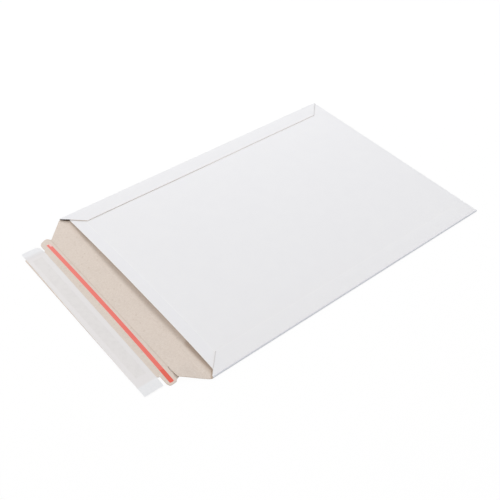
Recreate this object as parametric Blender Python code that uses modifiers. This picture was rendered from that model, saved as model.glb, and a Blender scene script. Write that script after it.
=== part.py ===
"""Solid-board mailing envelope, lying flat with its closure flap open.

Metres, +Z up. The envelope lies on the plane z = 0. X runs along the mouth, Y runs
from the mouth crease into the pocket, and the closure flap reaches towards -Y. The
origin is the middle of the bottom panel. The sizes count from the corner where the
mouth crease meets the left side fold, and an empty carries that corner to its place.
"""

import math

import bmesh
import bpy

# Folded envelope
WIDTH = 0.250             # over the two side folds
LENGTH = 0.353            # mouth crease to the outside of the far fold
BOARD = 0.0006            # board thickness
POCKET_GAP = 0.00055      # empty height of the pocket beside the folds
SEAM_GAP = 0.0003         # top panel to side flap, filled by the glue
FOLD_STEPS = 8            # segments around a half-turn fold

# Top panel
MOUTH_SETBACK = 0.007     # mouth edge behind the mouth crease
BOW = 0.0043              # how far the empty pocket gapes at the middle of the mouth
BOW_POWER = 2.0           # power of the gape's curve across the envelope
LIP_SCORE = 0.019         # score line parallel to the mouth
PANEL_ROWS = 9

# Side flaps
SIDE_FLAP = 0.020         # outside of the fold to the flap's free edge
MOUTH_TAPER = 0.0201      # slant of the flap's end at the mouth
FAR_TAPER = 0.0185        # slant of the flap's end at the far fold
FLAP_COLUMNS = 4
MIDDLE_COLUMNS = 12

# Closure flap
FLAP_DEPTH = 0.053        # mouth crease to the flap's free edge
NECK = 0.0202             # where the 45 degree tapers meet the tear strip
EAR_OUT = 0.0170          # side fold line to the end of the tear strip
EAR_BOTTOM = 0.0323       # mouth crease to the lower edge of the tear strip
EAR_BEVEL = 0.0026        # bevelled lower corner of the tear strip
EAR_RADIUS = 0.0010       # rounding of its corners
OUTER_INSET = 0.0314      # side fold line to the end of the outer board
TEAR_NEAR = 0.0207        # mouth crease to the tear line on the neck side
TEAR_FAR = 0.0303         # mouth crease to the tear line on the outer side
TAB_SLIT = 0.0141         # slit that frees the tab on the neck side
TAB_NICK = 0.0308         # side fold line to the short cut on the tab's other side
SLIT_WIDTH = 0.0004
CUTTER_REACH = 0.004      # how far a cutter stands clear of the board

# Pressed lines
BEAD = 0.00010            # height of the inside bead of a crease
SCORE = 0.00010           # depth of the score on the top panel
LINE_WIDTH = 0.0012       # width of a crease or score

# Strips on the closure flap
TAPE_WIDTH = 0.0039
TAPE_THICK = 0.00008
TAPE_LEFT = 0.0249        # side fold line to the tape's left end
TAPE_RIGHT = 0.0182       # side fold line to its right end
TAPE_CENTRE = 0.0264      # mouth crease to the tape's centre line
TAPE_SKEW = math.radians(-0.55)
ADHESIVE_LEFT = 0.0345    # side fold line to the adhesive's left end
ADHESIVE_RIGHT = 0.0388   # side fold line to its right end
ADHESIVE_WIDTH = 0.0102
ADHESIVE_INSET = 0.0091   # flap's free edge to the adhesive's centre line
ADHESIVE_THICK = 0.00018
LINER_THICK = 0.00010
LINER_LEFT = 0.0231       # side fold line to the liner's left end
LINER_RIGHT = 0.0200      # side fold line to its right end
LINER_NEAR_LEFT = 0.0179  # flap's free edge to the liner's inner edge, at its left end
LINER_NEAR_RIGHT = 0.0181
LINER_FAR_LEFT = 0.0009   # flap's free edge to the liner's outer edge, at its left end
LINER_FAR_RIGHT = -0.0007
LINER_TEETH = 14          # teeth of the pinked ends
LINER_TOOTH = 0.0008
STRIP_GAP = 0.00002       # strips to what they are stuck on

# Glue lines under the side flaps
GLUE_THICK = 0.00018
GLUE_START = 0.030        # mouth crease to the glue line
GLUE_END = 0.028          # far fold to the glue line

# Sizes that follow from those above
SIDE_STACK = 3 * BOARD + POCKET_GAP + SEAM_GAP
FAR_STACK = 2 * BOARD + POCKET_GAP
BOTTOM_Z = BOARD / 2
TOP_Z = FAR_STACK - BOARD / 2
SIDE_LINE = SIDE_STACK / 2
FAR_LINE = LENGTH - FAR_STACK / 2
CLOSE = 1e-6              # two stations closer than this are the same


def clear_scene():
    """Remove whatever the file holds."""
    for thing in list(bpy.data.objects):
        bpy.data.objects.remove(thing, do_unlink=True)


def make_material(name, colour, roughness):
    """A Principled material with a plain colour."""
    material = bpy.data.materials.new(name)
    material.use_nodes = True
    shader = material.node_tree.nodes["Principled BSDF"]
    shader.inputs["Base Color"].default_value = (*colour, 1.0)
    shader.inputs["Roughness"].default_value = roughness
    shader.inputs["Metallic"].default_value = 0.0
    material.diffuse_color = (*colour, 1.0)
    return material


def make_object(name, bm, collection, frame, materials=()):
    """Turn a bmesh into a named object that hangs on the frame empty."""
    mesh = bpy.data.meshes.new(name)
    bm.to_mesh(mesh)
    bm.free()
    thing = bpy.data.objects.new(name, mesh)
    thing.parent = frame
    collection.objects.link(thing)
    for material in materials:
        mesh.materials.append(material)
    return thing


def lift(x, y):
    """Height that the gaping mouth adds at a point of the top panel.

    A parabola across the envelope, full at the mouth and nothing at the far fold.
    """
    across = min(1.0, abs(2 * x / WIDTH - 1))
    along = min(1.0, max(0.0, y / LENGTH))
    return BOW * (1 - across ** BOW_POWER) * math.cos(math.pi / 2 * along) ** 2


def ramp(start, end, steps):
    """Evenly spaced values from start to end."""
    return [start + (end - start) * i / steps for i in range(steps + 1)]


def columns():
    """X stations shared by the panels: fine beside the folds, wide in the middle."""
    left = ramp(SIDE_LINE, SIDE_FLAP, FLAP_COLUMNS)
    middle = ramp(SIDE_FLAP, WIDTH - SIDE_FLAP, MIDDLE_COLUMNS)
    return left + middle[1:-1] + [WIDTH - x for x in reversed(left)]


def grid(bm, xs, ys, z):
    """A flat grid with its lines at the given stations."""
    bmesh.ops.create_grid(bm, x_segments=len(xs) - 1, y_segments=len(ys) - 1, size=0.5)
    for vert in bm.verts:
        column = round((vert.co.x + 0.5) * (len(xs) - 1))
        row = round((vert.co.y + 0.5) * (len(ys) - 1))
        vert.co = (xs[column], ys[row], z)


def border(bm, axis, value):
    """Edges of the sheet's rim that lie on one line of the bottom panel."""
    return [
        edge for edge in bm.edges
        if edge.is_boundary and all(
            abs(vert.co[axis] - value) < CLOSE and abs(vert.co.z - BOTTOM_Z) < CLOSE
            for vert in edge.verts
        )
    ]


def turn_over(bm, edges, centre, axis):
    """Fold the sheet half a turn about a line and return the new rim."""
    flat = set(bm.faces)
    turned = bmesh.ops.spin(
        bm, geom=edges, cent=centre, axis=axis, angle=math.pi, steps=FOLD_STEPS,
        use_merge=False, use_duplicate=False,
    )
    for face in set(bm.faces) - flat:
        face.smooth = True
    return [item for item in turned["geom_last"] if isinstance(item, bmesh.types.BMEdge)]


def extend(bm, edges, axis, stations):
    """Extrude a rim through the stations and return each new row of vertices."""
    rows = []
    for station in stations:
        extruded = bmesh.ops.extrude_edge_only(bm, edges=edges)["geom"]
        row = {item for item in extruded if isinstance(item, bmesh.types.BMVert)}
        for vert in row:
            vert.co[axis] = station
        edges = [
            item for item in extruded
            if isinstance(item, bmesh.types.BMEdge) and row.issuperset(item.verts)
        ]
        rows.append(row)
    return rows


def with_line(stations, line):
    """Stations with three more around a pressed line, in the same direction."""
    half = LINE_WIDTH / 2 if stations[-1] > stations[0] else -LINE_WIDTH / 2
    kept = [value for value in stations if abs(value - line) > 2 * LINE_WIDTH]
    return sorted(kept + [line - half, line, line + half], reverse=half < 0)


def taper(rows):
    """Slant both ends of a side flap, row by row towards its free edge."""
    for row in rows:
        for vert in row:
            reach = min(vert.co.x, WIDTH - vert.co.x) - SIDE_LINE
            share = reach / (SIDE_FLAP - SIDE_LINE)
            near = MOUTH_TAPER * share
            far = FAR_LINE - FAR_TAPER * share
            vert.co.y = near + vert.co.y / FAR_LINE * (far - near)


def press(bm, line, height):
    """Press a line across the sheet: a bead inside, or a score in the top panel."""
    for vert in bm.verts:
        if abs(vert.co.y - line) < CLOSE:
            vert.co.z += height


def folded_sheet():
    """The middle surface of the folded board, as one sheet."""
    bm = bmesh.new()
    grid(bm, columns(), ramp(0.0, FAR_LINE, PANEL_ROWS), BOTTOM_Z)

    # Far fold and top panel, which stops short of the mouth crease
    far_rim = border(bm, 1, FAR_LINE)
    panel_rim = turn_over(bm, far_rim, (0, FAR_LINE, FAR_STACK / 2), (1, 0, 0))
    panel_rows = with_line(ramp(FAR_LINE, MOUTH_SETBACK, PANEL_ROWS)[1:], LIP_SCORE)
    extend(bm, panel_rim, 1, panel_rows)

    # Side folds and side flaps
    reach = ramp(SIDE_LINE, SIDE_FLAP, FLAP_COLUMNS)[1:]
    for line, spin, stations in (
        (SIDE_LINE, 1, reach),
        (WIDTH - SIDE_LINE, -1, [WIDTH - x for x in reach]),
    ):
        flap_rim = turn_over(bm, border(bm, 0, line), (line, 0, SIDE_STACK / 2), (0, spin, 0))
        taper(extend(bm, flap_rim, 0, stations))

    # The gape of the mouth lifts all that lies above the pocket
    for vert in bm.verts:
        share = (vert.co.z - BOTTOM_Z) / (TOP_Z - BOTTOM_Z)
        vert.co.z += min(1.0, share) * lift(vert.co.x, vert.co.y)

    # Closure flap, with its crease and the two tear lines
    crease = -LINE_WIDTH / 2
    flap_rows = ramp(0.0, -FLAP_DEPTH, 4)
    for line in (crease, -TEAR_NEAR, -TEAR_FAR):
        flap_rows = with_line(flap_rows, line)
    extend(bm, border(bm, 1, 0.0), 1, flap_rows[1:])
    for line in (crease, -TEAR_NEAR, -TEAR_FAR):
        press(bm, line, BEAD)
    press(bm, LIP_SCORE, -SCORE)

    bmesh.ops.recalc_face_normals(bm, faces=bm.faces)
    return bm


def add_thickness(thing, thickness):
    """Give a sheet its thickness, half to each side, with its second material inside."""
    shell = thing.modifiers.new("thickness", "SOLIDIFY")
    shell.thickness = thickness
    shell.offset = 0.0
    shell.use_even_offset = True
    shell.use_quality_normals = True
    shell.use_rim = True
    shell.material_offset = 1
    shell.material_offset_rim = 1


def raise_face(bm, height):
    """Turn a flat face into a prism and return the prism's faces."""
    extruded = bmesh.ops.extrude_face_region(bm, geom=list(bm.faces))["geom"]
    raised = [item for item in extruded if isinstance(item, bmesh.types.BMVert)]
    bmesh.ops.translate(bm, verts=raised, vec=(0, 0, height))
    bmesh.ops.recalc_face_normals(bm, faces=bm.faces)
    return bm.faces


def cutter_from_outline(name, outline, rounded, collection, frame):
    """A tall prism over a flat outline, with some of its corners rounded."""
    bm = bmesh.new()
    verts = [bm.verts.new((x, y, -CUTTER_REACH)) for x, y in outline]
    bm.faces.new(verts)
    bmesh.ops.bevel(
        bm, geom=[verts[i] for i in rounded], offset=EAR_RADIUS, segments=3,
        affect="VERTICES", profile=0.5,
    )
    for face in raise_face(bm, 2 * CUTTER_REACH):
        face.material_index = 1
    return make_object(name, bm, collection, frame)


def cutter_box(name, low, high, collection, frame):
    """A tall box between two corners."""
    bm = bmesh.new()
    bmesh.ops.create_cube(bm, size=1.0)
    for vert in bm.verts:
        vert.co.x = low[0] if vert.co.x < 0 else high[0]
        vert.co.y = low[1] if vert.co.y < 0 else high[1]
        vert.co.z *= 2 * CUTTER_REACH
    for face in bm.faces:
        face.material_index = 1
    return make_object(name, bm, collection, frame)


def flap_outline():
    """What the die trims off beside the closure flap, on the left."""
    over = CUTTER_REACH
    return [
        (-over, -BOARD),
        (BOARD, -BOARD),
        (NECK, -NECK),
        (EAR_OUT, -NECK - (NECK - EAR_OUT)),
        (EAR_OUT, -EAR_BOTTOM + EAR_BEVEL),
        (EAR_OUT + EAR_BEVEL, -EAR_BOTTOM),
        (OUTER_INSET - LINE_WIDTH, -EAR_BOTTOM),
        (OUTER_INSET, -EAR_BOTTOM - LINE_WIDTH),
        (OUTER_INSET, -FLAP_DEPTH - over),
        (-over, -FLAP_DEPTH - over),
    ]


def cut(thing, cutter):
    """Take a cutter's shape out of an object."""
    cutter.hide_render = True
    cutter.display_type = "WIRE"
    trim = thing.modifiers.new(cutter.name, "BOOLEAN")
    trim.operation = "DIFFERENCE"
    trim.solver = "EXACT"
    trim.object = cutter


def make_board(parts, cutters, frame, materials):
    """The board: folded sheet, thickness, and the die-cut ends of the closure flap."""
    board = make_object("board", folded_sheet(), parts, frame, materials)
    add_thickness(board, BOARD)
    outline = flap_outline()
    rounded = (3, 4, 5)
    cut(board, cutter_from_outline("left_trim", outline, rounded, cutters, frame))
    mirrored = [(WIDTH - x, y) for x, y in outline]
    cut(board, cutter_from_outline("right_trim", mirrored, rounded, cutters, frame))

    # Slit and short cut that free the tab at the right end of the tear strip
    half = SLIT_WIDTH / 2
    neck = WIDTH - NECK
    slit = ((neck - TAB_SLIT, -TEAR_NEAR - half), (neck + 4 * half, -TEAR_NEAR + half))
    cut(board, cutter_box("tab_slit", *slit, cutters, frame))
    nick_x = WIDTH - TAB_NICK
    nick = ((nick_x - half, -EAR_BOTTOM - LINE_WIDTH), (nick_x + half, -TEAR_FAR + half))
    cut(board, cutter_box("tab_nick", *nick, cutters, frame))
    return board


def make_strip(name, size, place, skew, parts, frame, material):
    """A flat strip stuck on the closure flap, given by its size and its middle."""
    bm = bmesh.new()
    bmesh.ops.create_cube(bm, size=1.0)
    bmesh.ops.scale(bm, vec=size, verts=bm.verts)
    strip = make_object(name, bm, parts, frame, [material])
    strip.location = place
    strip.rotation_euler = (0, 0, skew)
    return strip


def pinked_end(x, near, far, outwards):
    """Points of a saw-tooth end, from the near edge to the far one."""
    count = 2 * LINER_TEETH
    points = []
    for i in range(count + 1):
        tip = LINER_TOOTH if i % 2 else 0.0
        points.append((x + outwards * tip, near + (far - near) * i / count))
    return points


def make_liner(parts, frame, material):
    """Release paper with pinked ends, longer than the adhesive and the board below."""
    left = pinked_end(
        LINER_LEFT, LINER_NEAR_LEFT - FLAP_DEPTH, LINER_FAR_LEFT - FLAP_DEPTH, -1)
    right = pinked_end(
        WIDTH - LINER_RIGHT, LINER_FAR_RIGHT - FLAP_DEPTH, LINER_NEAR_RIGHT - FLAP_DEPTH, 1)
    low = BOARD + 2 * STRIP_GAP + ADHESIVE_THICK
    bm = bmesh.new()
    bm.faces.new([bm.verts.new((x, y, low)) for x, y in left + right])
    raise_face(bm, LINER_THICK)
    return make_object("release_liner", bm, parts, frame, [material])


def make_glue(name, xs, parts, frame, material):
    """Glue line between a side flap and the top panel, following their curve."""
    bm = bmesh.new()
    grid(bm, xs, ramp(GLUE_START, LENGTH - GLUE_END, PANEL_ROWS), FAR_STACK + SEAM_GAP / 2)
    for vert in bm.verts:
        vert.co.z += lift(vert.co.x, vert.co.y)
    strip = make_object(name, bm, parts, frame, [material])
    add_thickness(strip, GLUE_THICK)
    return strip


def main():
    """Build every piece of the envelope."""
    clear_scene()
    parts = bpy.data.collections.new("board_envelope")
    cutters = bpy.data.collections.new("cutters")
    bpy.context.scene.collection.children.link(parts)
    bpy.context.scene.collection.children.link(cutters)

    # Sizes above count from the corner of mouth crease and left fold
    frame = bpy.data.objects.new("envelope_frame", None)
    frame.location = (-WIDTH / 2, -LENGTH / 2, 0.0)
    parts.objects.link(frame)

    lining = make_material("white_lining", (0.86, 0.86, 0.87), 0.75)
    grey_board = make_material("grey_board", (0.69, 0.60, 0.52), 0.90)
    film = make_material("red_film", (0.82, 0.18, 0.14), 0.35)
    hotmelt = make_material("clear_adhesive", (0.80, 0.76, 0.68), 0.40)
    paper = make_material("release_paper", (0.85, 0.85, 0.85), 0.50)
    glue = make_material("seam_glue", (0.85, 0.83, 0.78), 0.60)

    make_board(parts, cutters, frame, [lining, grey_board])
    make_strip(
        "tear_tape",
        (WIDTH - TAPE_RIGHT - TAPE_LEFT, TAPE_WIDTH, TAPE_THICK),
        (
            (WIDTH - TAPE_RIGHT + TAPE_LEFT) / 2,
            -TAPE_CENTRE,
            BOARD + STRIP_GAP + TAPE_THICK / 2,
        ),
        TAPE_SKEW, parts, frame, film,
    )
    make_strip(
        "closure_adhesive",
        (WIDTH - ADHESIVE_RIGHT - ADHESIVE_LEFT, ADHESIVE_WIDTH, ADHESIVE_THICK),
        (
            (WIDTH - ADHESIVE_RIGHT + ADHESIVE_LEFT) / 2,
            ADHESIVE_INSET - FLAP_DEPTH,
            BOARD + STRIP_GAP + ADHESIVE_THICK / 2,
        ),
        0.0, parts, frame, hotmelt,
    )
    make_liner(parts, frame, paper)
    left = ramp(SIDE_LINE, SIDE_FLAP, FLAP_COLUMNS)[1:-1]
    make_glue("left_seam_glue", left, parts, frame, glue)
    right = [WIDTH - x for x in reversed(left)]
    make_glue("right_seam_glue", right, parts, frame, glue)


main()
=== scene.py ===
# %% [markdown]
# # A solid-board mailing envelope
#
# The object is a flat envelope folded from one die-cut sheet of card. It is white
# outside and grey-beige inside. It lies on its back with the mouth towards us and the
# closure flap opened flat. On the flap are a red tear tape and a long sticky band under
# release paper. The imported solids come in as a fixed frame, and every piece below is
# placed by their numbers.

import math

import bpy
import numpy as np
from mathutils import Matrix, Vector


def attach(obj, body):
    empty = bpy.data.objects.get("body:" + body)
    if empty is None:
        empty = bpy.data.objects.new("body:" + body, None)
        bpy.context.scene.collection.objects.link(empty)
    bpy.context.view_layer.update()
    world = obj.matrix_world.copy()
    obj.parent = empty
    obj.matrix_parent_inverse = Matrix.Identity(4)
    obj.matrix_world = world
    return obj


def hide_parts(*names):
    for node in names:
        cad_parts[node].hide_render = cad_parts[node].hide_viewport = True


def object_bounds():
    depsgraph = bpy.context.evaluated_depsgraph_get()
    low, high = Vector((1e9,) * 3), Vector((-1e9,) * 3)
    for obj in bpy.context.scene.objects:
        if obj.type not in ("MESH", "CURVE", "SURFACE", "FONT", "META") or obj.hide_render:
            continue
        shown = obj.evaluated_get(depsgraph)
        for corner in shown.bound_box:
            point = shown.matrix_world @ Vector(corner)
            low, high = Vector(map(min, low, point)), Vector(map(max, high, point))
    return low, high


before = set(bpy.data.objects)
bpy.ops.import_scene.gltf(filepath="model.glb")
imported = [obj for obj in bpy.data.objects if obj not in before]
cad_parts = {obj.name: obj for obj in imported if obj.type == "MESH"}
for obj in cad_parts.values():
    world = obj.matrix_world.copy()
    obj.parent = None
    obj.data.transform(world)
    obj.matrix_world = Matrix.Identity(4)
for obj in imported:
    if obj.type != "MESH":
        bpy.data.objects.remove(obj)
solid_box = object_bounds()
print("nodes", sorted(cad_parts))

# %% [markdown]
# ## The camera
#
# The photograph was taken from the mouth's right corner, looking down at about 44
# degrees with a slight roll. A pose of that kind is found by matching straight edges:
# the two side folds, the far fold and the slanted ends of the flap are all lines whose
# real directions are known. Location, angles and lens are written out as numbers, so
# the view doesn't move when a piece changes.

# %% Camera
CAMERA_PLACE = (0.43768, -0.42395, 0.53511)
CAMERA_ANGLES = (46.0938, -2.3358, 50.1559)
CAMERA_LENS = 56.698

camera_data = bpy.data.cameras.new("studio_camera")
camera_data.lens = CAMERA_LENS
camera_data.sensor_width = 36.0
camera_data.clip_start = 0.01
camera_data.clip_end = 50.0
camera = bpy.data.objects.new("studio_camera", camera_data)
camera.location = CAMERA_PLACE
camera.rotation_euler = [math.radians(angle) for angle in CAMERA_ANGLES]
bpy.context.scene.collection.objects.link(camera)
bpy.context.scene.camera = camera
bpy.context.scene.view_settings.view_transform = "Standard"
print("camera at", CAMERA_PLACE)

# %% [markdown]
# ## Colours and nodes
#
# Colours are easiest to write as the 0 to 255 numbers that a screen shows, but shaders
# work with light, which is not the same scale. One short function turns the first into
# the second. A small class adds a node with its settings in one line, and a second one,
# for materials, knows the few steps that paper and card need again and again. So each
# recipe below stays short enough to read.

# %% Colour and node helpers
def screen(red, green, blue):
    """Light values of a screen colour: ((c + 0.055) / 1.055) to the power 2.4."""
    share = np.array([red, green, blue]) / 255.0
    low = share / 12.92
    high = ((share + 0.055) / 1.055) ** 2.4
    return (*np.where(share > 0.04045, high, low).tolist(), 1.0)


class NodeTree:
    """A node tree and the short calls that fill it."""

    def __init__(self, tree):
        self.nodes = tree.nodes
        self.links = tree.links

    def add(self, kind, inputs=None, **settings):
        """Add a node. An input is a number, a colour or another node's output."""
        node = self.nodes.new(kind)
        for key, value in settings.items():
            setattr(node, key, value)
        for key, value in (inputs or {}).items():
            if isinstance(value, bpy.types.NodeSocket):
                self.links.new(value, node.inputs[key])
            else:
                node.inputs[key].default_value = value
        return node

    def maths(self, operation, first, second=0.0, third=0.0):
        """One arithmetic node."""
        return self.add(
            "ShaderNodeMath", {0: first, 1: second, 2: third}, operation=operation,
        ).outputs["Value"]


class Recipe(NodeTree):
    """A material and the few calls that its recipe needs."""

    def __init__(self, name):
        self.material = bpy.data.materials.new(name)
        self.material.use_nodes = True
        super().__init__(self.material.node_tree)
        self.shader = self.nodes["Principled BSDF"]
        self.place = self.add("ShaderNodeTexCoord").outputs["Object"]

    def stretched(self, scale, turn=0.0):
        """Object coordinates turned about Z and then scaled per axis."""
        turned = self.add(
            "ShaderNodeMapping", {"Vector": self.place, "Rotation": (0, 0, math.radians(turn))})
        scaled = self.add(
            "ShaderNodeMapping", {"Vector": turned.outputs["Vector"], "Scale": scale})
        return scaled.outputs["Vector"]

    def noise(self, scale, detail=3.0, roughness=0.5, vector=None):
        """Noise between about 0.3 and 0.7, with its features 1 / scale metres wide."""
        return self.add("ShaderNodeTexNoise", {
            "Vector": vector or self.place, "Scale": scale,
            "Detail": detail, "Roughness": roughness}).outputs["Fac"]

    def graded(self, value, low, high, to_low=0.0, to_high=1.0):
        """Map a value from one range to another, smoothly and without overshoot."""
        return self.add("ShaderNodeMapRange", {
            "Value": value, "From Min": low, "From Max": high,
            "To Min": to_low, "To Max": to_high}, interpolation_type="SMOOTHSTEP",
        ).outputs["Result"]

    def mixed(self, share, first, second):
        """Mix two colours by a share. On a colour node they are inputs 6 and 7."""
        node = self.add("ShaderNodeMix", data_type="RGBA")
        for key, value in ((0, share), (6, first), (7, second)):
            if isinstance(value, bpy.types.NodeSocket):
                self.links.new(value, node.inputs[key])
            else:
                node.inputs[key].default_value = value
        return node.outputs[2]

    def surface(self, roughness, gloss):
        """How rough the surface is, and how strong its faint gloss."""
        self.shader.inputs["Roughness"].default_value = roughness
        self.shader.inputs["Specular IOR Level"].default_value = gloss

    def finish(self, colour, height=None, depth=0.0001):
        """Plug in the colour, and a height in metres as bump."""
        self.links.new(colour, self.shader.inputs["Base Color"])
        if height is not None:
            bump = self.add("ShaderNodeBump", {"Height": height, "Distance": depth})
            self.links.new(bump.outputs["Normal"], self.shader.inputs["Normal"])
        return self.material


print("a white card in light values:", [round(c, 3) for c in screen(241, 242, 244)[:3]])

# %% [markdown]
# ## Floor, daylight and lamps
#
# The photograph has a pure white ground. More light would bleach the white card as
# well, so the ground's white comes from its own material: what the camera sees of the
# floor is mostly a plain white glow, and the rest is ordinary matt paint that still
# takes the envelope's shadow. For all other rays it is only the matt paint.
#
# A large share of the light is the room's own, even and faintly cool, so the lip of the
# mouth only throws a short soft shadow. A soft lamp behind leaves the cut edges that face
# us in shade, and a weak one close on the left makes the card a little brighter there.
# The fold on the right stays in a cool shade. A large warm lamp in front reaches under
# the lip and keeps that shade brown instead of grey. The world is treated like the floor:
# the camera sees it almost white, and all else is lit by its real, lower level.

# %% Floor
def seen_ray(tree):
    """1 for camera rays and for rays that a gloss or a glass sends on, else 0."""
    path = tree.add("ShaderNodeLightPath").outputs
    mirrored = tree.maths("MAXIMUM", path["Is Glossy Ray"], path["Is Transmission Ray"])
    return tree.maths("MAXIMUM", path["Is Camera Ray"], mirrored)


FLOOR_SIZE = 3.0
FLOOR_DROP = 0.0003
FLOOR_GLOW = 0.90          # share of the glow in what the camera sees of the floor
GLOW_STRENGTH = 1.03

corners = np.array([(-1, -1), (1, -1), (1, 1), (-1, 1)]) * FLOOR_SIZE
floor_mesh = bpy.data.meshes.new("floor")
floor_mesh.from_pydata([(x, y, -FLOOR_DROP) for x, y in corners], [], [(0, 1, 2, 3)])
floor = bpy.data.objects.new("floor", floor_mesh)
bpy.context.scene.collection.objects.link(floor)

paint = Recipe("floor_paint")
dust = paint.graded(paint.noise(6.0), 0.3, 0.7)
paint.finish(paint.mixed(dust, screen(228, 228, 228), screen(230, 230, 230)))
paint.shader.inputs["Roughness"].default_value = 0.9
glow = paint.add("ShaderNodeEmission", {"Color": (1, 1, 1, 1), "Strength": GLOW_STRENGTH})
glow_share = paint.maths("MULTIPLY", seen_ray(paint), FLOOR_GLOW)
blend = paint.add("ShaderNodeMixShader", {
    0: glow_share, 1: paint.shader.outputs["BSDF"], 2: glow.outputs["Emission"]})
paint.links.new(blend.outputs["Shader"], paint.nodes["Material Output"].inputs["Surface"])
floor_mesh.materials.append(paint.material)
print("floor:", 2 * FLOOR_SIZE, "m wide")

# %% World and lamps
ROOM_LIGHT = 0.405
ROOM_COLOUR = (0.93, 0.955, 1.0, 1.0)
LAMPS = {                  # place, width of the disk, power, colour
    "back_lamp": ((-1.0, 1.9, 2.5), 1.5, 21.5, (1.0, 0.995, 1.0)),
    "left_lamp": ((-0.75, 0.26, 0.7), 0.7, 2.85, (1.0, 0.995, 1.0)),
    "front_lamp": ((1.2, -4.0, 3.2), 3.2, 134.0, (1.0, 0.935, 0.865)),
}

world = bpy.data.worlds.new("room")
world.use_nodes = True
bpy.context.scene.world = world
room = NodeTree(world.node_tree)
background = room.nodes["Background"]
background.inputs["Color"].default_value = ROOM_COLOUR
level = room.maths("MULTIPLY_ADD", seen_ray(room), 1.0 - ROOM_LIGHT, ROOM_LIGHT)
room.links.new(level, background.inputs["Strength"])

for name, (place, size, power, colour) in LAMPS.items():
    lamp_data = bpy.data.lights.new(name, "AREA")
    lamp_data.shape = "DISK"
    lamp_data.size = size
    lamp_data.energy = power
    lamp_data.color = colour
    lamp = bpy.data.objects.new(name, lamp_data)
    lamp.location = place
    aim = np.array(place) / np.linalg.norm(place)
    lamp.rotation_euler = (math.acos(aim[2]), 0.0, math.atan2(aim[1], aim[0]) + math.pi / 2)
    bpy.context.scene.collection.objects.link(lamp)
    print(name, "is", round(float(np.linalg.norm(place)), 2), "m away")

# %% [markdown]
# ## The sizes of the folded sheet
#
# All sizes are in millimetres and count from the corner where the crease at the mouth
# meets the left side fold: x along the mouth, y into the pocket, z up from the table.
# That is how a die maker would draw the sheet. The card is 0.6 mm thick, and what is
# drawn here is its middle surface. The thickness comes last.

# %% Sizes
WIDTH = 250.0
LENGTH = 353.0
BOARD = 0.6
SIDE_STACK = 2.65          # height of the envelope over a side fold
FAR_STACK = 1.75           # height over the far fold
BOTTOM_Z = BOARD / 2
TOP_Z = FAR_STACK - BOARD / 2
SIDE_LINE = SIDE_STACK / 2
FAR_LINE = LENGTH - FAR_STACK / 2
CORNER = np.array([WIDTH / 2, LENGTH / 2, 0.0])
MM = 0.001


def to_frame(points):
    """Millimetres from the corner become metres from the middle of the back panel."""
    return (np.asarray(points, dtype=float) - CORNER) * MM


def frame_x(x):
    """The same for one x, as materials need it."""
    return (x - WIDTH / 2) * MM


def frame_y(y):
    """The same for one y."""
    return (y - LENGTH / 2) * MM


box_low, box_high = solid_box
print("solid box, mm:", np.round((np.array(box_high) - np.array(box_low)) / MM, 1))

# %% [markdown]
# ## From grids to one sheet
#
# Each panel and each fold is a grid of points: a function of two parameters, worked out
# as one array. Neighbouring grids share the points of their common border. So the whole
# sheet is made by stacking all the grids' points, finding which of them coincide, and
# numbering each place once. Where two borders don't coincide, a cut stays open, and
# that is how the tab of the tear strip gets loose.

# %% Grid helpers
def quads(rows, columns):
    """Corner numbers of every cell: down a row, one on, up again, and back."""
    first = (np.arange(rows - 1)[:, None] * columns + np.arange(columns - 1)).ravel()
    return np.stack([first, first + columns, first + columns + 1, first + 1], axis=1)


def join_grids(grids):
    """One list of points and one of faces from many grids, with shared points once."""
    points, faces, count = [], [], 0
    for grid in grids:
        rows, columns = grid.shape[:2]
        points.append(grid.reshape(-1, 3))
        faces.append(quads(rows, columns) + count)
        count += rows * columns
    points = np.concatenate(points)
    keys = np.round(points * 1e4).astype(np.int64)
    _, kept, number = np.unique(keys, axis=0, return_index=True, return_inverse=True)
    faces = number.ravel()[np.concatenate(faces)]
    return points[kept], faces


def closed_shell(top, bottom):
    """A thin closed body: two grids, one above the other, and strips round their rims."""
    rims = [
        np.stack([top[0], bottom[0]]), np.stack([bottom[-1], top[-1]]),
        np.stack([bottom[:, 0], top[:, 0]]), np.stack([top[:, -1], bottom[:, -1]])]
    return join_grids([top[::-1], bottom] + rims)


def add_piece(name, points, faces, materials, smooth=True):
    """A named object with its place in its mesh, riding on the only body."""
    mesh = bpy.data.meshes.new(name)
    mesh.from_pydata(to_frame(points).tolist(), [], faces.tolist())
    mesh.polygons.foreach_set("use_smooth", np.full(len(faces), smooth))
    for material in materials:
        mesh.materials.append(material)
    mesh.validate()
    piece = bpy.data.objects.new(name, mesh)
    bpy.context.scene.collection.objects.link(piece)
    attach(piece, "root")
    return piece


def sharpen(piece, degrees=35.0):
    """Apply the piece's modifiers and keep crisp edges where faces meet at an angle."""
    graph = bpy.context.evaluated_depsgraph_get()
    finished = bpy.data.meshes.new_from_object(piece.evaluated_get(graph))
    piece.modifiers.clear()
    piece.data = finished
    finished.name = piece.name
    finished.set_sharp_from_angle(angle=math.radians(degrees))
    print(piece.name, len(finished.polygons), "faces")


def soft_step(value, low, high):
    """0 below low, 1 above high, and 3t^2 - 2t^3 between them."""
    t = np.clip((value - low) / (high - low), 0.0, 1.0)
    return t * t * (3 - 2 * t)


print("a grid of 3 by 4 points has", len(quads(3, 4)), "cells")

# %% [markdown]
# ## How the pocket gapes
#
# An empty envelope doesn't lie quite flat. At the mouth the top panel bows up by about
# four millimetres, and the bow dies out towards the far fold, where both panels are
# one. Across the envelope the bow is a parabola on the left. On the right it rises
# faster, with a power of 3.4 in place of 2, because that fold was closed less sharply.
# Along the envelope it follows a squared cosine. A very low ripple is added, the product
# of one long wave each way, since no sheet of card is perfectly flat.

# %% Gape
BOW = 3.8
LEFT_POWER, RIGHT_POWER = 2.0, 3.4
WAVE = 0.10


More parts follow.
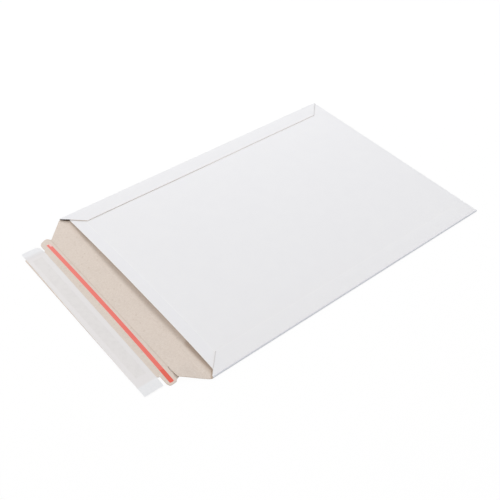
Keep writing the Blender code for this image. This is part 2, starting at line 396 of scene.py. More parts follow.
def gape(x, y):
    """Lift of the top panel: 1 - u^p across, with u from 0 to 1; squared cosine along."""
    u = np.clip(np.abs(2 * x / WIDTH - 1), 0.0, 1.0)
    v = np.clip(y / LENGTH, 0.0, 1.0)
    arch = 1 - u ** np.where(x < WIDTH / 2, LEFT_POWER, RIGHT_POWER)
    wave = WAVE * np.sin(x / 47.0 + 0.8) * np.sin(y / 61.0 + 0.4)
    inside = soft_step(1 - u, 0.02, 0.3) * soft_step(1 - v, 0.0, 0.2)
    return BOW * arch * np.cos(np.pi / 2 * v) ** 2 + wave * inside


def lifted(points):
    """Add the gape to a grid, in full from the top panel's height upwards."""
    share = np.clip((points[..., 2] - BOTTOM_Z) / (TOP_Z - BOTTOM_Z), 0.0, 1.0)
    points[..., 2] += share * gape(points[..., 0], points[..., 1])
    return points


print("gape at the middle of the mouth:", round(float(gape(WIDTH / 2, 7.0)), 2), "mm")

# %% [markdown]
# ## The outline of the closure flap
#
# The flap narrows from the mouth along two slanted cuts to a neck. Below the neck the
# tear strip sticks out on both sides as a rounded ear, and below the strip the outer
# board is a little narrower again. Each side is one function that gives x for every y:
# straight lines between a few corners of the die, with the corners of the ears rounded
# by extra points. On the right the ear is a loose tab, freed by a slit on its inner side
# and a short slanting cut on its outer side.

# %% Flap outline
FLAP_DEPTH = 54.0
TEAR_NEAR = -20.7          # tear line on the side of the neck
TEAR_FAR = -30.6           # tear line on the outer side
STRIP_END = -32.3          # lower edge of the ears
SLIT_START = 215.0         # from here to the right the tab is cut free of the neck
CUT_TOP = -31.0            # where the short cut beside the tab starts
TAB_END = -32.0            # lower edge of the tab

LEFT_SIDE = np.array([
    (-BOARD, 1.3), (-20.0, 20.6), (-20.7, 20.2), (-22.0, 18.1), (-22.9, 17.3),
    (-24.2, 17.0), (-25.6, 17.2), (-27.7, 18.0), (-29.6, 18.9), (-30.9, 19.9),
    (-31.8, 21.1), (-32.15, 22.3), (STRIP_END, 24.6)])
RIGHT_SIDE = np.array([
    (-BOARD, 248.7), (-19.0, 231.9), (-20.4, 230.6), (-20.7, 230.3), (-23.6, 233.4),
    (-24.5, 233.8), (-30.1, 233.9), (-30.7, 233.5), (-32.0, 231.2), (STRIP_END, 230.4)])
NOTCH_LEFT = np.array([(TEAR_NEAR, 30.4), (STRIP_END, 30.4), (-33.6, 31.5), (-54, 31.2)])
NOTCH_RIGHT = np.array([
    (CUT_TOP, 218.9), (STRIP_END, 221.0), (-33.4, 220.6), (-34.0, 220.0), (-54, 219.6)])


def side_at(outline, y):
    """x of an outline at each y, by straight lines between its corners."""
    return np.interp(-np.asarray(y), -outline[:, 0], outline[:, 1])


strip_width = side_at(RIGHT_SIDE, -26.0) - side_at(LEFT_SIDE, -26.0)
print("tear strip, ear to ear:", round(float(strip_width), 1), "mm")

# %% [markdown]
# ## The panels
#
# Every grid of the long strip, from the flap's free edge round the far fold to the
# mouth, uses the same columns, so their borders match point for point. The columns are
# spread between the two outlines in four zones. The side flaps use the rows of the back
# panel. A crease is pressed into the card as a low bead, and a tear line as a narrow
# groove: both are a bump function added to z on a few close rows.

# %% Stations
CREASE = -0.9              # the fold line of the flap, just outside the mouth
LIP_SCORE = 19.0           # a second score across the top panel
LEFT_ZONE = 30.4           # borders of the outer zones, in line with the flap's notches
RIGHT_ZONE = 218.6
ZONE_COLUMNS = (16, 62, 4, 12)
LINE_ROWS = 3              # close rows on each side of a pressed line
END_CLEAR = 0.05           # no close row within this distance of either end
ROW_CLEAR = 0.3            # and no even row within this distance of a close one


def spread(left, left_zone, right_zone, right, y):
    """x and y of every column for each row, from the zone borders of that row."""
    borders = [
        np.broadcast_to(border, y.shape)
        for border in (left, left_zone, SLIT_START, right_zone, right)]
    zones = []
    for low, high, count in zip(borders[:-1], borders[1:], ZONE_COLUMNS):
        share = np.arange(count) / count
        zones.append(low[:, None] + (high - low)[:, None] * share)
    xs = np.concatenate(zones + [borders[-1][:, None]], axis=1)
    return xs, np.broadcast_to(y[:, None], xs.shape)


def stations(start, end, step, lines=(), fine=0.35):
    """Rows from start to end, with close rows on both sides of each pressed line."""
    count = max(1, round(abs(end - start) / step))
    values = np.linspace(start, end, count + 1)
    near = np.array([
        line + k * fine for line in lines for k in range(-LINE_ROWS, LINE_ROWS + 1)])
    low, high = min(start, end), max(start, end)
    near = near[(near > low + END_CLEAR) & (near < high - END_CLEAR)]
    if near.size:                          # an even row too close to a pressed line goes
        gap = np.abs(values[:, None] - near[None, :]).min(axis=1)
        values = values[(gap > ROW_CLEAR) | (values == start) | (values == end)]
    both = np.unique(np.concatenate([values, near]))
    return both if end > start else both[::-1]


def bead(y, line, height, width):
    """A pressed line: height times a squared cosine over its width, else nothing."""
    t = np.clip(np.abs(y - line) / (width / 2), 0.0, 1.0)
    return height * np.cos(np.pi / 2 * t) ** 2


print("rows round a line at 3 mm:", stations(0.0, 6.0, 2.0, lines=(3.0,)).round(2).tolist())

# %% Back panel, far fold and top panel
body_rows = stations(0.0, FAR_LINE, 6.0)
body_x, body_y = spread(SIDE_LINE, LEFT_ZONE, RIGHT_ZONE, WIDTH - SIDE_LINE, body_rows)
back_panel = np.stack([body_x, body_y, np.full_like(body_x, BOTTOM_Z)], axis=-1)

turn = np.linspace(0.0, np.pi, 13)[:, None]
fold_radius = (TOP_Z - BOTTOM_Z) / 2
far_y = FAR_LINE + fold_radius * np.sin(turn)
far_z = FAR_STACK / 2 - fold_radius * np.cos(turn)
far_fold = np.stack(np.broadcast_arrays(body_x[-1], far_y, far_z), axis=-1)

MOUTH_LEFT, MOUTH_RIGHT = 8.0, 6.7     # the mouth edge runs slightly askew
MOUTH_ROW = 7.4                        # last row of the top panel before it is pulled
LIP_SLOPE = 0.004                      # the lip bends down a little beyond its score
LIP_GROOVE = (-0.035, 1.4)             # height and width of the score

top_rows = stations(FAR_LINE, MOUTH_ROW, 5.0, lines=(LIP_SCORE,), fine=0.3)
top_x = np.broadcast_to(body_x[0], (len(top_rows), body_x.shape[1]))
mouth = MOUTH_LEFT + (MOUTH_RIGHT - MOUTH_LEFT) * top_x / WIDTH
pulled = 1 - soft_step(top_rows, MOUTH_ROW, LIP_SCORE - 1.5)[:, None]
top_y = top_rows[:, None] + (mouth - MOUTH_ROW) * pulled
lip_bend = LIP_SLOPE * np.clip(LIP_SCORE - top_y, 0.0, None)
top_z = TOP_Z + bead(top_y, LIP_SCORE, *LIP_GROOVE) - lip_bend
top_panel = np.stack([top_x, top_y, top_z], axis=-1)
print("rows: back", len(body_rows), "top", len(top_rows))

# %% [markdown]
# ## The side flaps
#
# The back panel's long edges turn over and lie on the top panel, where they are glued.
# The fold's section is a superellipse, |x|^n + |z|^n = r^n with n a little over 3, so it
# has an upright face between two tight bends, as a double crease gives.
#
# Both ends of a flap are cut on a slant, so that they don't show at the mouth. The grid
# runs over the back panel's rows and, across, first around the fold and then over the
# flap. On the flap the slant squeezes the rows between the two cut ends, and at the mouth
# the fold itself is set back by a millimetre or two.
#
# Towards its free edge the flap is pressed down onto the panel, so that only the
# thickness of the card is left as a step. Beside the mouth there is no top panel in the
# fold, and the fold closes up a little. The right flap's tip has come unglued and lifts.

# %% Side flaps
FOLD_SQUARENESS = 3.2
FOLD_CLOSING = 0.15        # share by which a fold is lower at the mouth
EDGE_PRESS = (0.10, 0.18)  # a flap's free edge is pressed down, and more so further back
FAR_SLANT = 18.5


def side_flap(sign, reach, narrowing, near_slant, set_back, tip_lift):
    """A fold and its flap on the left (sign 1) or right (sign -1) of the back panel.

    The fold is r |cos a|^(2/n) high and r |sin a|^(2/n) wide for an angle a from 0 to a
    half turn, and the flap goes on flat from its top. The slanted ends are straight: y
    grows in proportion to the distance from the fold.
    """
    line = SIDE_LINE if sign > 0 else WIDTH - SIDE_LINE
    radius = (SIDE_STACK - BOARD) / 2
    angle = np.linspace(0.0, np.pi, 21)
    power = 2 / FOLD_SQUARENESS
    cosine = np.sign(np.cos(angle)) * np.abs(np.cos(angle)) ** power
    fold_x = line - sign * radius * np.abs(np.sin(angle)) ** power
    fold_x[[0, -1]] = line
    fold_z = SIDE_STACK / 2 - radius * cosine

    share = np.linspace(0.0, 1.0, 15)[1:]
    flap_x = line + sign * (reach - SIDE_LINE) * share
    flap_z = np.full_like(share, SIDE_STACK - BOARD / 2)
    on_fold = np.zeros_like(fold_x)
    slant = np.concatenate([on_fold, share])
    turned = np.concatenate([soft_step(angle, 0.0, 1.2), np.ones_like(share)])
    near_edge = np.concatenate([on_fold, soft_step(share, 0.62, 1.0)])

    near = near_slant * slant
    far = FAR_LINE - FAR_SLANT * slant
    y = near + body_rows[:, None] / FAR_LINE * (far - near)
    y = y + set_back * turned * (1 - soft_step(y - near, 0.0, 8.0)) * (1 - slant)
    x = np.concatenate([fold_x, flap_x])
    x = x - sign * narrowing * slant * soft_step(y, 110.0, 280.0)
    press = EDGE_PRESS[0] + EDGE_PRESS[1] * soft_step(y, 30.0, 240.0)
    z = np.concatenate([fold_z, flap_z]) - press * near_edge
    closed = 1 - FOLD_CLOSING * (1 - soft_step(y, 0.0, 7.5))
    tip = slant ** 3 * (1 - soft_step(y - near, 0.0, 12.0))
    z = BOTTOM_Z + (z - BOTTOM_Z) * closed + tip_lift * tip
    grid = np.stack([x, y, z], axis=-1)
    return grid[::-1] if sign > 0 else grid


left_flap = side_flap(
    1, reach=20.6, narrowing=1.2, near_slant=20.9, set_back=1.2, tip_lift=0.0)
right_flap = side_flap(
    -1, reach=19.4, narrowing=0.0, near_slant=19.0, set_back=1.9, tip_lift=0.5)
for name, flap in (("left", left_flap), ("right", right_flap)):
    print(name, "flap: rows and columns", flap.shape[:2])

# %% [markdown]
# ## The closure flap
#
# It takes four grids: the neck up to the first tear line, the tear strip, the tab, and
# the outer board under the release paper. The neck and the tab share no points beyond
# the slit's start, and neither do the strip and the tab below the short cut. The neck's
# right corner curls up by about two millimetres and leans over the tab, which stays on
# the table, so the slit opens as a dark wedge.

# %% Closure flap
PRESSED_LINES = (          # place, height over the card and width
    (CREASE, 0.03, 1.4), (TEAR_NEAR, -0.09, 1.5), (TEAR_FAR, -0.05, 1.0))
NECK_CORNERS = [-20.0, -20.4]          # rows at the corners of the outline
OUTER_CORNERS = [-33.4, -33.6, -34.0]


def flap_grid(x, y):
    """A flat grid at the back panel's height, with the flap's crease and tear lines."""
    pressed = sum(bead(y, *line) for line in PRESSED_LINES)
    return np.stack([x, y, BOTTOM_Z + pressed], axis=-1)


def neck_side(outline, fold_line, y):
    """A side of the neck: the outline, drawn in to the fold's line at the mouth."""
    share = soft_step(-y, 0.0, 0.8)
    return fold_line + (side_at(outline, y) - fold_line) * share


neck_rows = stations(0.0, TEAR_NEAR, 2.0, lines=(CREASE, TEAR_NEAR), fine=0.25)
neck_rows = np.unique(np.append(neck_rows, NECK_CORNERS))[::-1]
neck = flap_grid(*spread(
    neck_side(LEFT_SIDE, SIDE_LINE, neck_rows), LEFT_ZONE, RIGHT_ZONE,
    neck_side(RIGHT_SIDE, WIDTH - SIDE_LINE, neck_rows), neck_rows))

strip_rows = stations(TEAR_NEAR, STRIP_END, 1.5, lines=(TEAR_NEAR, TEAR_FAR), fine=0.25)
edge_rows = np.concatenate([LEFT_SIDE[:, 0], RIGHT_SIDE[:, 0], [CUT_TOP]])
edge_rows = edge_rows[(edge_rows < TEAR_NEAR) & (edge_rows > STRIP_END)]
strip_rows = np.unique(np.round(np.append(strip_rows, edge_rows), 3))[::-1]
whole_strip = flap_grid(*spread(
    side_at(LEFT_SIDE, strip_rows), side_at(NOTCH_LEFT, strip_rows),
    side_at(NOTCH_RIGHT, strip_rows), side_at(RIGHT_SIDE, strip_rows), strip_rows))
tab_columns = ZONE_COLUMNS[-1]
strip = whole_strip[:, :-tab_columns]
tab = whole_strip[:, -tab_columns - 1:].copy()

CUT_GAP = 0.25             # the short cut stands open by this much
below = strip_rows < CUT_TOP
shortened = (CUT_TOP - TAB_END) / (CUT_TOP - STRIP_END)
tab[below, :, 1] = CUT_TOP + (tab[below, :, 1] - CUT_TOP) * shortened
tab[below, 0, 0] += CUT_GAP

EDGE_SKEW = 0.6            # the free edge lies this much nearer the mouth on the right
outer_rows = stations(STRIP_END, -FLAP_DEPTH, 2.5)
outer_rows = np.unique(np.append(outer_rows, OUTER_CORNERS))[::-1]
outer = flap_grid(*spread(
    0.0, side_at(NOTCH_LEFT, outer_rows), side_at(NOTCH_RIGHT, outer_rows),
    WIDTH, outer_rows))[:, ZONE_COLUMNS[0]:-tab_columns]
to_right = (outer[..., 0] - 30.0) / 190.0
outer[..., 1] += EDGE_SKEW * to_right * soft_step(-outer[..., 1], 34.0, FLAP_DEPTH)
print("flap grids:", neck.shape[:2], strip.shape[:2], tab.shape[:2], outer.shape[:2])

# %% Curl and tab
NECK_CURL = 2.3
CURL_SWAY = (0.38, -0.12)  # how far the corner leans over the tab for each mm of lift
SLIT_GAP = 0.25            # the slit's width before the corner lifts over the tab
TAB_REACH = 2.2            # how far the tab goes on under the lifted corner


def curled(points):
    """Lift the neck's right corner: soft steps along the slit and away from it."""
    x, y = points[..., 0], points[..., 1]
    along = soft_step(x, SLIT_START, 232.0) ** 1.1
    away = 1 - soft_step(y, TEAR_NEAR, -2.0)
    lift = NECK_CURL * along * away
    points[..., 2] += lift
    points[..., 0] += CURL_SWAY[0] * lift
    points[..., 1] += CURL_SWAY[1] * lift
    return points


def loosened(points):
    """Shift the tab's inner edge: first a little away, then under the lifted corner."""
    x, y = points[..., 0], points[..., 1]
    away = SLIT_GAP * soft_step(x, SLIT_START, 219.0) * soft_step(y, -27.0, TEAR_NEAR)
    under = TAB_REACH * soft_step(x, 221.5, 228.0) * soft_step(y, -22.2, TEAR_NEAR)
    points[..., 1] = y + under - away
    return points


neck = curled(neck)
tab = loosened(tab)
strip = loosened(strip)
print("the neck's corner lifts by", round(float(neck[..., 2].max() - BOTTOM_Z), 2), "mm")

# %% Build the board
upper = [lifted(grid.copy()) for grid in (back_panel, far_fold, top_panel)]
sides = [lifted(left_flap), lifted(right_flap)]
lower = [grid[::-1] for grid in (neck, strip, tab, outer)]
board_points, board_faces = join_grids(upper + sides + lower)
print("sheet:", len(board_points), "points,", len(board_faces), "faces")

# %% [markdown]
# ## Marks on the card
#
# Some lines on the card are neither a shape nor a texture but painted light and shade: a
# grey shade beside a slanted cut end, a highlight along a score or an edge, shade under the
# lip, and a gap too thin for soft light to leave it black, painted black. Each is a mark
# along a straight line between two places on the sheet. It is full up to an inner distance
# from the line and gone at an outer one. A list of marks with their colours is then one
# short loop.

# %% Mark helpers
def mark(recipe, start, end, inner, outer):
    """1 near a straight line between two places, 0 from the outer distance on, in mm.

    With t = (P - A) . (B - A) / |B - A|^2 held between 0 and 1, the nearest place on the
    line is A + t (B - A), and the mark fades with the distance from it.
    """
    def vector(operation, first, second):
        return recipe.add("ShaderNodeVectorMath", {0: first, 1: second}, operation=operation)

    flat = vector("MULTIPLY", recipe.place, (1, 1, 0)).outputs["Vector"]
    step = np.array([end[0] - start[0], end[1] - start[1], 0.0]) * MM
    per_length = step / (step @ step)
    first = (frame_x(start[0]), frame_y(start[1]), 0.0)
    away = vector("SUBTRACT", flat, first).outputs["Vector"]
    along = vector("DOT_PRODUCT", away, per_length.tolist()).outputs["Value"]
    share = recipe.add("ShaderNodeClamp", {"Value": along}).outputs["Result"]
    nearest = recipe.add(
        "ShaderNodeVectorMath", {0: step.tolist(), "Scale": share}, operation="SCALE")
    gap = vector("DISTANCE", away, nearest.outputs["Vector"]).outputs["Value"]
    return recipe.graded(gap, inner * MM, outer * MM, 1.0, 0.0)


def marked(recipe, colour, marks, limit=1.0):
    """Mix in marks: start, end, inner and outer distance, strength and screen colour."""
    for start, end, inner, outer, strength, tone in marks:
        near = recipe.maths("MULTIPLY", mark(recipe, start, end, inner, outer), strength)
        near = recipe.maths("MULTIPLY", near, limit)
        colour = recipe.mixed(near, colour, screen(*tone))
    return colour


print("a mark is full up to its inner distance and gone at its outer one")

# %% [markdown]
# ## White lining
#
# The outside is lined with a thin bleached paper, matt with a faint cool tint. Up close
# it isn't even: pulp fibres leave clouds about a centimetre wide and a finer mottle of
# half a millimetre, and here and there a dark speck is caught in the paper. The clouds
# and the mottle are two noises of very low contrast. The specks are the middles of
# Voronoi cells, kept only where the cell's own random value is small. A fine bump breaks
# up the highlight as a paper surface does.
#
# Painted light and shade follow the side flaps: a grey line of painted shade at the right
# one's near end and at the left one's far end, where their slanting cuts face us, and a
# painted highlight along the right one's free edge and the lip's score. The lip and the
# upright face of the right fold get a cooler painted shade than the rest.

# %% White lining material
# Painted shade: grey lines beside the slanted cut ends of the side flaps.
CUT_END_SHADE_LINES = [
    ((231.0, 19.2), (242.5, 7.8), 0.1, 0.75, 0.42, (178, 172, 170)),
    ((19.6, 333.8), (1.5, 351.8), 0.1, 0.7, 0.30, (184, 180, 178)),
]
# Painted highlights along the lip's score and the right flap's free edge.
PAINTED_HIGHLIGHTS = [
    ((20.0, LIP_SCORE), (230.0, LIP_SCORE), 0.0, 0.7, 0.4, (249, 250, 251)),
    ((230.8, 19.5), (230.8, 334.0), 0.0, 0.6, 0.35, (250, 251, 252)),
]


def white_lining():
    """Bleached lining paper."""
    r = Recipe("white_lining")
    clouds = r.graded(r.noise(70.0, 4.0), 0.3, 0.7)
    mottle = r.graded(r.noise(1800.0, 2.0), 0.3, 0.7)
    colour = r.mixed(clouds, screen(240.5, 241.2, 243.5), screen(241.5, 242.2, 244.2))
    colour = r.mixed(r.maths("MULTIPLY", mottle, 0.35), colour, screen(237, 238, 239))
    cells = r.add("ShaderNodeTexVoronoi", {"Vector": r.place, "Scale": 90.0})
    pick = r.add("ShaderNodeSeparateColor", {"Color": cells.outputs["Color"]})
    rare = r.maths("LESS_THAN", pick.outputs["Red"], 0.045)
    small = r.maths("MULTIPLY_ADD", pick.outputs["Green"], 0.022, 0.010)
    spot = r.maths("LESS_THAN", cells.outputs["Distance"], small)
    speck = r.maths("MULTIPLY", r.maths("MULTIPLY", rare, spot), 0.45)
    colour = r.mixed(speck, colour, screen(150, 145, 140))
    place = r.add("ShaderNodeSeparateXYZ", {"Vector": r.place}).outputs
    # painted shade beside the slanted cut ends
    colour = marked(r, colour, CUT_END_SHADE_LINES)
    # painted shade: the lip in front of its score a little cooler
    lip_shade = r.graded(place["Y"], frame_y(LIP_SCORE - 1), frame_y(LIP_SCORE), 0.1, 0.0)
    colour = r.mixed(lip_shade, colour, screen(235, 237, 245))
    # painted highlights along the score and the right flap's edge
    colour = marked(r, colour, PAINTED_HIGHLIGHTS)
    # painted shade: the right fold's upright face a little cooler
    fold_side_shade = r.graded(place["X"], frame_x(WIDTH - 1.0), frame_x(WIDTH - 0.2), 0.0, 0.5)
    colour = r.mixed(fold_side_shade, colour, screen(228, 233, 245))
    r.surface(roughness=0.75, gloss=0.12)
    grain = r.maths("ADD", r.noise(2600.0, 3.0), r.maths("MULTIPLY", r.noise(420.0), 0.8))
    return r.finish(colour, grain, 0.00003)


# %% [markdown]
# ## Grey-beige inside and raw edge
#
# The inner side is recycled pulp without a lining. Its warm grey is broken up by short
# fibres that lie in all directions, by lighter and darker clumps, and by a few brown
# flecks. Fibres are noise stretched along three directions turned against each other.
# The tear line is darker, because the tool bruised the pulp there. A cut edge shows the
# same pulp, denser and a little darker. The left flap's long edge gets a painted highlight,
# and the edge in the left fold's mouth a nearly black painted shade.
#
# The marks on the inner side are painted shade, in order: in the closed gap in the left
# fold's mouth, beside the end of the right fold, in the slit beside the tab with its thin
# start, and under the lip near both corners. They belong to card that lies on the
# table, so they fade out with the height above it.

# %% Grey board materials
def fibres(r, scale, turn):
    """Thin light streaks in one direction, from noise squeezed across it."""
    streak = r.noise(1.0, 2.0, vector=r.stretched((scale * 0.22, scale, scale), turn))
    return r.graded(streak, 0.50, 0.72)


FIBRES = ((20, (236, 226, 216)), (80, (209, 193, 178)), (140, (234, 224, 214)))
# Painted shade: the gap in the left fold's mouth, the right fold's end, the slit and under the
# lip.
PAINTED_SHADE_PLACES = [
    ((1.0, 2.2), (7.4, 8.9), 0.45, 0.8, 0.97, (30, 21, 14)),
    ((243.2, 5.3), (249.2, 0.5), 0.2, 1.0, 0.50, (165, 140, 115)),
    ((219.0, -19.9), (230.5, -19.5), 0.8, 1.2, 0.95, (44, 32, 22)),
    ((217.2, -20.8), (222.5, -21.2), 0.1, 0.8, 0.50, (96, 72, 50)),
    ((208.0, 9.0), (242.0, 8.0), 2.2, 7.2, 0.32, (150, 118, 88)),
    ((8.0, 9.0), (40.0, 9.0), 3.0, 8.0, 0.12, (150, 118, 88)),
]
# Painted shade in the left fold's mouth, and a painted highlight on the left flap's long edge.
EDGE_SHADE_AND_HIGHLIGHT = [
    ((1.3, 1.9), (7.6, 8.4), 0.9, 1.5, 0.95, (40, 30, 22)),
    ((20.6, 21.5), (19.4, 334.0), 0.3, 1.0, 0.85, (236, 228, 223)),
]


def grey_board():
    """Unlined recycled board, with the bruised tear line."""
    r = Recipe("grey_board")
    clumps = r.graded(r.noise(620.0, 4.0, 0.65), 0.34, 0.66)
    broad = r.graded(r.noise(38.0, 3.0), 0.35, 0.65)
    colour = r.mixed(clumps, screen(221, 209, 198), screen(228, 217, 207))
    colour = r.mixed(r.maths("MULTIPLY", broad, 0.35), colour, screen(230, 218, 207))
    for turn, tone in FIBRES:
        strength = r.maths("MULTIPLY", fibres(r, 1500.0, turn), 0.30)
        colour = r.mixed(strength, colour, screen(*tone))
    cells = r.add("ShaderNodeTexVoronoi", {
        "Vector": r.stretched((210, 330, 300), 35), "Scale": 1.0})
    pick = r.add("ShaderNodeSeparateColor", {"Color": cells.outputs["Color"]})
    rare = r.maths("LESS_THAN", pick.outputs["Red"], 0.22)
    middle = r.graded(cells.outputs["Distance"], 0.05, 0.45, 0.16, 0.0)
    colour = r.mixed(r.maths("MULTIPLY", rare, middle), colour, screen(176, 152, 130))
    place = r.add("ShaderNodeSeparateXYZ", {"Vector": r.place}).outputs
    off = r.maths("ABSOLUTE", r.maths("SUBTRACT", place["Y"], frame_y(TEAR_NEAR)))
    bruise = r.graded(off, 0.1 * MM, 0.9 * MM, 0.22, 0.0)
    colour = r.mixed(bruise, colour, screen(176, 152, 132))
    lying = r.graded(place["Z"], 0.62 * MM, 0.70 * MM, 1.0, 0.0)
    # painted shade in gaps, the slit and under the lip
    colour = marked(r, colour, PAINTED_SHADE_PLACES, lying)
    r.surface(roughness=0.88, gloss=0.06)
    grain = r.maths("ADD", r.noise(1900.0, 4.0), r.maths("MULTIPLY", clumps, 0.6))
    return r.finish(colour, grain, 0.00006)


def raw_edge():
    """Cut edge of the board."""
    r = Recipe("raw_edge")
    plies = r.graded(r.noise(1.0, 3.0, vector=r.stretched((500, 500, 9000))), 0.35, 0.65)
    colour = r.mixed(plies, screen(186, 170, 156), screen(208, 196, 185))
    # painted shade and a painted highlight on the cut edges
    colour = marked(r, colour, EDGE_SHADE_AND_HIGHLIGHT)
    r.surface(roughness=0.92, gloss=0.15)
    return r.finish(colour, r.noise(2500.0), 0.00005)


board_materials = [white_lining(), grey_board(), raw_edge()]
print("board materials:", [material.name for material in board_materials])

# %% [markdown]
# ## The thickness of the card
#
# So far the sheet has no thickness. The Solidify modifier gives it one, half to each side
# of the middle surface, and puts its own material on the inner side and on the rim. So
# white lining, grey board and cut edge each land where they belong without any painting.

# %% Give the board its thickness
board = add_piece("board_sheet", board_points, board_faces, board_materials)
shell = board.modifiers.new("thickness", "SOLIDIFY")
shell.thickness = BOARD * MM
shell.offset = 0.0
shell.use_even_offset = True
shell.use_quality_normals = True
shell.material_offset = 1
shell.material_offset_rim = 2
sharpen(board)
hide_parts("board")

# %% [markdown]
# ## The red tear tape
#
# A narrow red film runs along the tear strip, slightly askew and bowed, from near the
# left ear to the end of the tab. It is a ribbon that lies flat on the card and is less
# than a tenth of a millimetre thick. The left end is cut almost square, and the right end
# is torn. The film is satin and a little translucent, so it looks paler where it has
# lifted from the card at the left. On the tab its red is deeper.

# %% Tear tape
TAPE_START = 24.9
TAPE_END = 232.0
TAPE_WIDTH = 3.9
TAPE_MIDDLE = -26.4
TAPE_SKEW = math.tan(math.radians(-0.40))
TAPE_BOW = 1.0
FILM = 0.08
WORKING_GAP = 0.02         # keeps the film just clear of the card


def torn(v):
    """A right end that runs back unevenly across the tape."""
    return -0.9 * np.abs(v - 0.55) - 0.25 * np.sin(v * 23.0)


def squared(v):
    """A left end cut almost square."""
    return 0.25 * v


def tape_line(x):
    """Middle line of the tape: a skewed line plus a parabola, as it came off the roll."""
    middle = 127.5
    t = (x - middle) / 97.5
    return TAPE_MIDDLE + (x - middle) * TAPE_SKEW + TAPE_BOW * (1 - t * t)


def tape_shell():
    """The film's closed shell: x along the tape with u, y across it with v.

    The two end shapes shift x and die out quickly, with (1 - u)^20 and u^20.
    """
    u = np.linspace(0.0, 1.0, 140)
    v = np.linspace(0.0, 1.0, 9)[:, None]
    x = TAPE_START + (TAPE_END - TAPE_START) * u
    x = x + squared(v) * (1 - u) ** 20 + torn(v) * u ** 20
    y = tape_line(x) + (v - 0.5) * TAPE_WIDTH
    low = np.full_like(x, BOARD + WORKING_GAP)
    return closed_shell(np.stack([x, y, low + FILM], -1), np.stack([x, y, low], -1))


tape_ends = tape_line(np.array([TAPE_START, TAPE_END]))
print("tape's middle at its two ends, mm:", tape_ends.round(1).tolist())

# %% Tear tape material
def red_film():
    """Red tear film."""
    r = Recipe("red_film")
    place = r.add("ShaderNodeSeparateXYZ", {"Vector": r.place}).outputs
    along = r.graded(place["X"], frame_x(20.0), frame_x(175.0))
    colour = r.mixed(along, screen(242, 131, 121), screen(238, 117, 106))
    stretch = r.graded(r.noise(1.0, 3.0, vector=r.stretched((60, 900, 1))), 0.3, 0.7)
    colour = r.mixed(r.maths("MULTIPLY", stretch, 0.35), colour, screen(243, 138, 128))
    slanted = r.maths("MULTIPLY_ADD", place["Y"], -0.25, place["X"])
    tab_border = frame_x(215.7) - 0.25 * frame_y(TAPE_MIDDLE)
    loose = r.graded(slanted, tab_border, tab_border + 0.6 * MM)
    colour = r.mixed(loose, colour, screen(232, 103, 86))
    pale = r.graded(place["X"], frame_x(28.0), frame_x(30.0), 1.0, 0.0)
    inner_half = r.graded(place["Y"], frame_y(-26.1), frame_y(-24.9))
    lifted_end = r.maths("MULTIPLY", pale, inner_half)
    colour = r.mixed(lifted_end, colour, screen(244, 205, 200))
    r.surface(roughness=0.5, gloss=0.2)
    return r.finish(colour, r.noise(1.0, 2.0, vector=r.stretched((90, 1400, 1))), 0.00002)


tape_points, tape_faces = tape_shell()
tape = add_piece("tear_tape_film", tape_points, tape_faces, [red_film()], smooth=False)
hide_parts("tear_tape")
print("tape:", len(tape_faces), "faces")

# %% [markdown]
# ## Release paper and the sticky band below
#
# The band of hot glue on the outer board is covered by release paper, which is longer
# and wider than the glue. Its ends were cut with a pinking blade, so they are
# saw-toothed, and it lies slightly askew. The paper lies over the glue, drops to the card
# beside it and hangs free past the board's ends. Its height is a function of x and y: a
# low plateau over the glue, a slope beside it, a faint wave, and free ends that sag, with
# the left one's inner corner curled up. The paper is thin, so the glue shows through as a
# warmer band. Where the paper bends down over the card's end, a soft grey line is painted
# shade.

# %% Release paper
LINER_LEFT, LINER_RIGHT = 22.0, 230.0
LINER_NEAR, LINER_FAR = -33.7, -52.95
LINER_THICK = 0.10
LINER_REST = 0.63          # height of the paper's underside on the card
LINER_RISE = 0.20          # how much higher it lies over the glue
TEETH = 14
TOOTH = 0.8
CARD_LEFT, CARD_RIGHT = 31.0, 220.5
GLUE_LEFT, GLUE_RIGHT = 36.5, 211.2
GLUE_MIDDLE, GLUE_WIDTH = -43.9, 10.2


def window(value, low, high, slope):
    """1 between low and high, falling to 0 over a slope outside them."""
    rise = soft_step(value, low - slope, low)
    return rise * (1 - soft_step(value, high, high + slope))


def liner_height(x, y):
    """Underside of the paper: on the card, over the glue, and past the board's ends."""
    across = window(y, GLUE_MIDDLE - 4.6, GLUE_MIDDLE + 4.6, 2.4)
    on_glue = across * window(x, GLUE_LEFT, GLUE_RIGHT, 4.0)
    wave = 0.03 * (1 + np.sin(x / 9.3 + 1.3 * np.sin(y / 6.0)))
    left_free = np.clip(CARD_LEFT - x, 0.0, None)
    right_free = np.clip(x - CARD_RIGHT, 0.0, None)
    curl = 0.3 * soft_step(y, -40.0, -33.5) * soft_step(left_free, 2.0, 9.5)
    sag = 0.030 * left_free + 0.028 * right_free
    return LINER_REST + LINER_RISE * on_glue + wave * (1 - on_glue) + curl - sag


def pinked(v):
    """Saw teeth: the distance to the nearest whole number, over the tooth count."""
    phase = v * TEETH
    return 2 * TOOTH * np.abs(phase - np.round(phase))


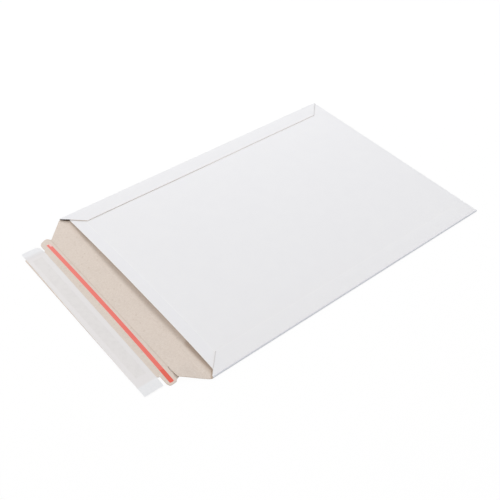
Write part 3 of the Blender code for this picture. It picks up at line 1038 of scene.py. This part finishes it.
def liner_shell():
    """The paper's closed shell: rows across, teeth at both ends, fine columns there.

    x runs from the left end to the right one with u, y from the outer edge to the inner
    one with v. Both edges lean a little: outwards by 0.8 u, and by u^1.6.
    """
    v = np.linspace(0.0, 1.0, 2 * TEETH + 1)[:, None]
    u = np.concatenate([
        np.linspace(0, 0.06, 14)[:-1], np.linspace(0.06, 0.94, 110)[:-1],
        np.linspace(0.94, 1, 14)])
    left = LINER_LEFT + 2.9 * soft_step(v, 0.78, 1.0) - pinked(v)
    right = LINER_RIGHT + pinked(v)
    x = left + (right - left) * u
    far = LINER_FAR - 0.8 * u + 0.12 * np.sin(x / 31.0)
    near = LINER_NEAR - u ** 1.6 - 0.7 * (1 - soft_step(u, 0.0, 0.045))
    y = far + (near - far) * v
    low = liner_height(x, y)
    return closed_shell(np.stack([x, y, low + LINER_THICK], -1), np.stack([x, y, low], -1))


print("release paper, end to end:", LINER_RIGHT - LINER_LEFT, "mm")

# %% Release paper material
def between(recipe, value, low, high, edge):
    """A soft window on one coordinate: 1 from low to high, with edges 2 edge wide."""
    rise = recipe.graded(value, low - edge, low + edge)
    fall = recipe.graded(value, high - edge, high + edge, 1.0, 0.0)
    return recipe.maths("MULTIPLY", rise, fall)


def release_paper():
    """Siliconised paper showing what lies under it, with painted shade at the card's end."""
    r = Recipe("release_paper")
    place = r.add("ShaderNodeSeparateXYZ", {"Vector": r.place}).outputs
    ragged = r.maths("MULTIPLY_ADD", r.noise(260.0, 3.0), 1.6 * MM, -0.8 * MM)
    x = r.maths("ADD", place["X"], ragged)
    y = r.maths("ADD", place["Y"], ragged)
    low, high = frame_y(GLUE_MIDDLE - GLUE_WIDTH / 2), frame_y(GLUE_MIDDLE + GLUE_WIDTH / 2)
    on_glue = r.maths(
        "MULTIPLY", between(r, x, frame_x(GLUE_LEFT), frame_x(GLUE_RIGHT), 0.8 * MM),
        between(r, y, low, high, 0.6 * MM))
    on_card = between(r, place["X"], frame_x(31.4), frame_x(220.0), 1.2 * MM)
    # painted shade where the paper bends down over the card's end
    card_end_shade = between(r, place["X"], frame_x(28.5), frame_x(33.0), 2.2 * MM)

    cloud = r.graded(r.noise(500.0, 3.0), 0.3, 0.7)
    paper = r.mixed(cloud, screen(237, 239, 241), screen(240, 241, 243))
    colour = r.mixed(on_card, paper, screen(235, 233, 233))
    colour = r.mixed(r.maths("MULTIPLY", card_end_shade, 0.6), colour, screen(226, 224, 224))
    blotch = r.graded(r.noise(190.0, 3.0, 0.6), 0.42, 0.66)
    warm = r.mixed(blotch, screen(232, 230, 229), screen(229, 227, 226))
    colour = r.mixed(on_glue, colour, warm)
    r.surface(roughness=0.6, gloss=0.15)
    return r.finish(colour, r.noise(900.0, 3.0), 0.00003)


liner_points, liner_faces = liner_shell()
liner = add_piece("release_paper_strip", liner_points, liner_faces, [release_paper()])
sharpen(liner, 50.0)
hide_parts("release_liner")

# %% [markdown]
# ## Hot glue
#
# The sticky band and the two seam lines are mostly hidden. The band's solid is already
# right, so it only gets a better finish: pale amber, tacky and a little cloudy, with
# tiny bubbles. The seam glue is whiter and duller.

# %% Glue materials
def hot_glue(name, light, dark, roughness):
    """Cloudy dried or tacky glue with fine bubbles."""
    r = Recipe(name)
    cloud = r.graded(r.noise(150.0, 4.0, 0.6), 0.3, 0.7)
    colour = r.mixed(cloud, screen(*light), screen(*dark))
    bubbles = r.add("ShaderNodeTexVoronoi", {"Vector": r.place, "Scale": 1200.0})
    r.shader.inputs["Roughness"].default_value = roughness
    return r.finish(colour, bubbles.outputs["Distance"], 0.00005)


tacky = hot_glue("tacky_glue", (232, 224, 208), (220, 208, 186), 0.3)
dried = hot_glue("dried_glue", (236, 233, 226), (226, 221, 211), 0.55)
for node, glue in (
        ("closure_adhesive", tacky), ("left_seam_glue", dried), ("right_seam_glue", dried)):
    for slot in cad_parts[node].material_slots:
        slot.material = glue
    print(node, "gets", glue.name)

# %% [markdown]
# ## The box of the solids
#
# Dressing the part must not change its size. The box of the solids is written out.


print("solid", np.round(np.array(solid_box), 4).tolist())
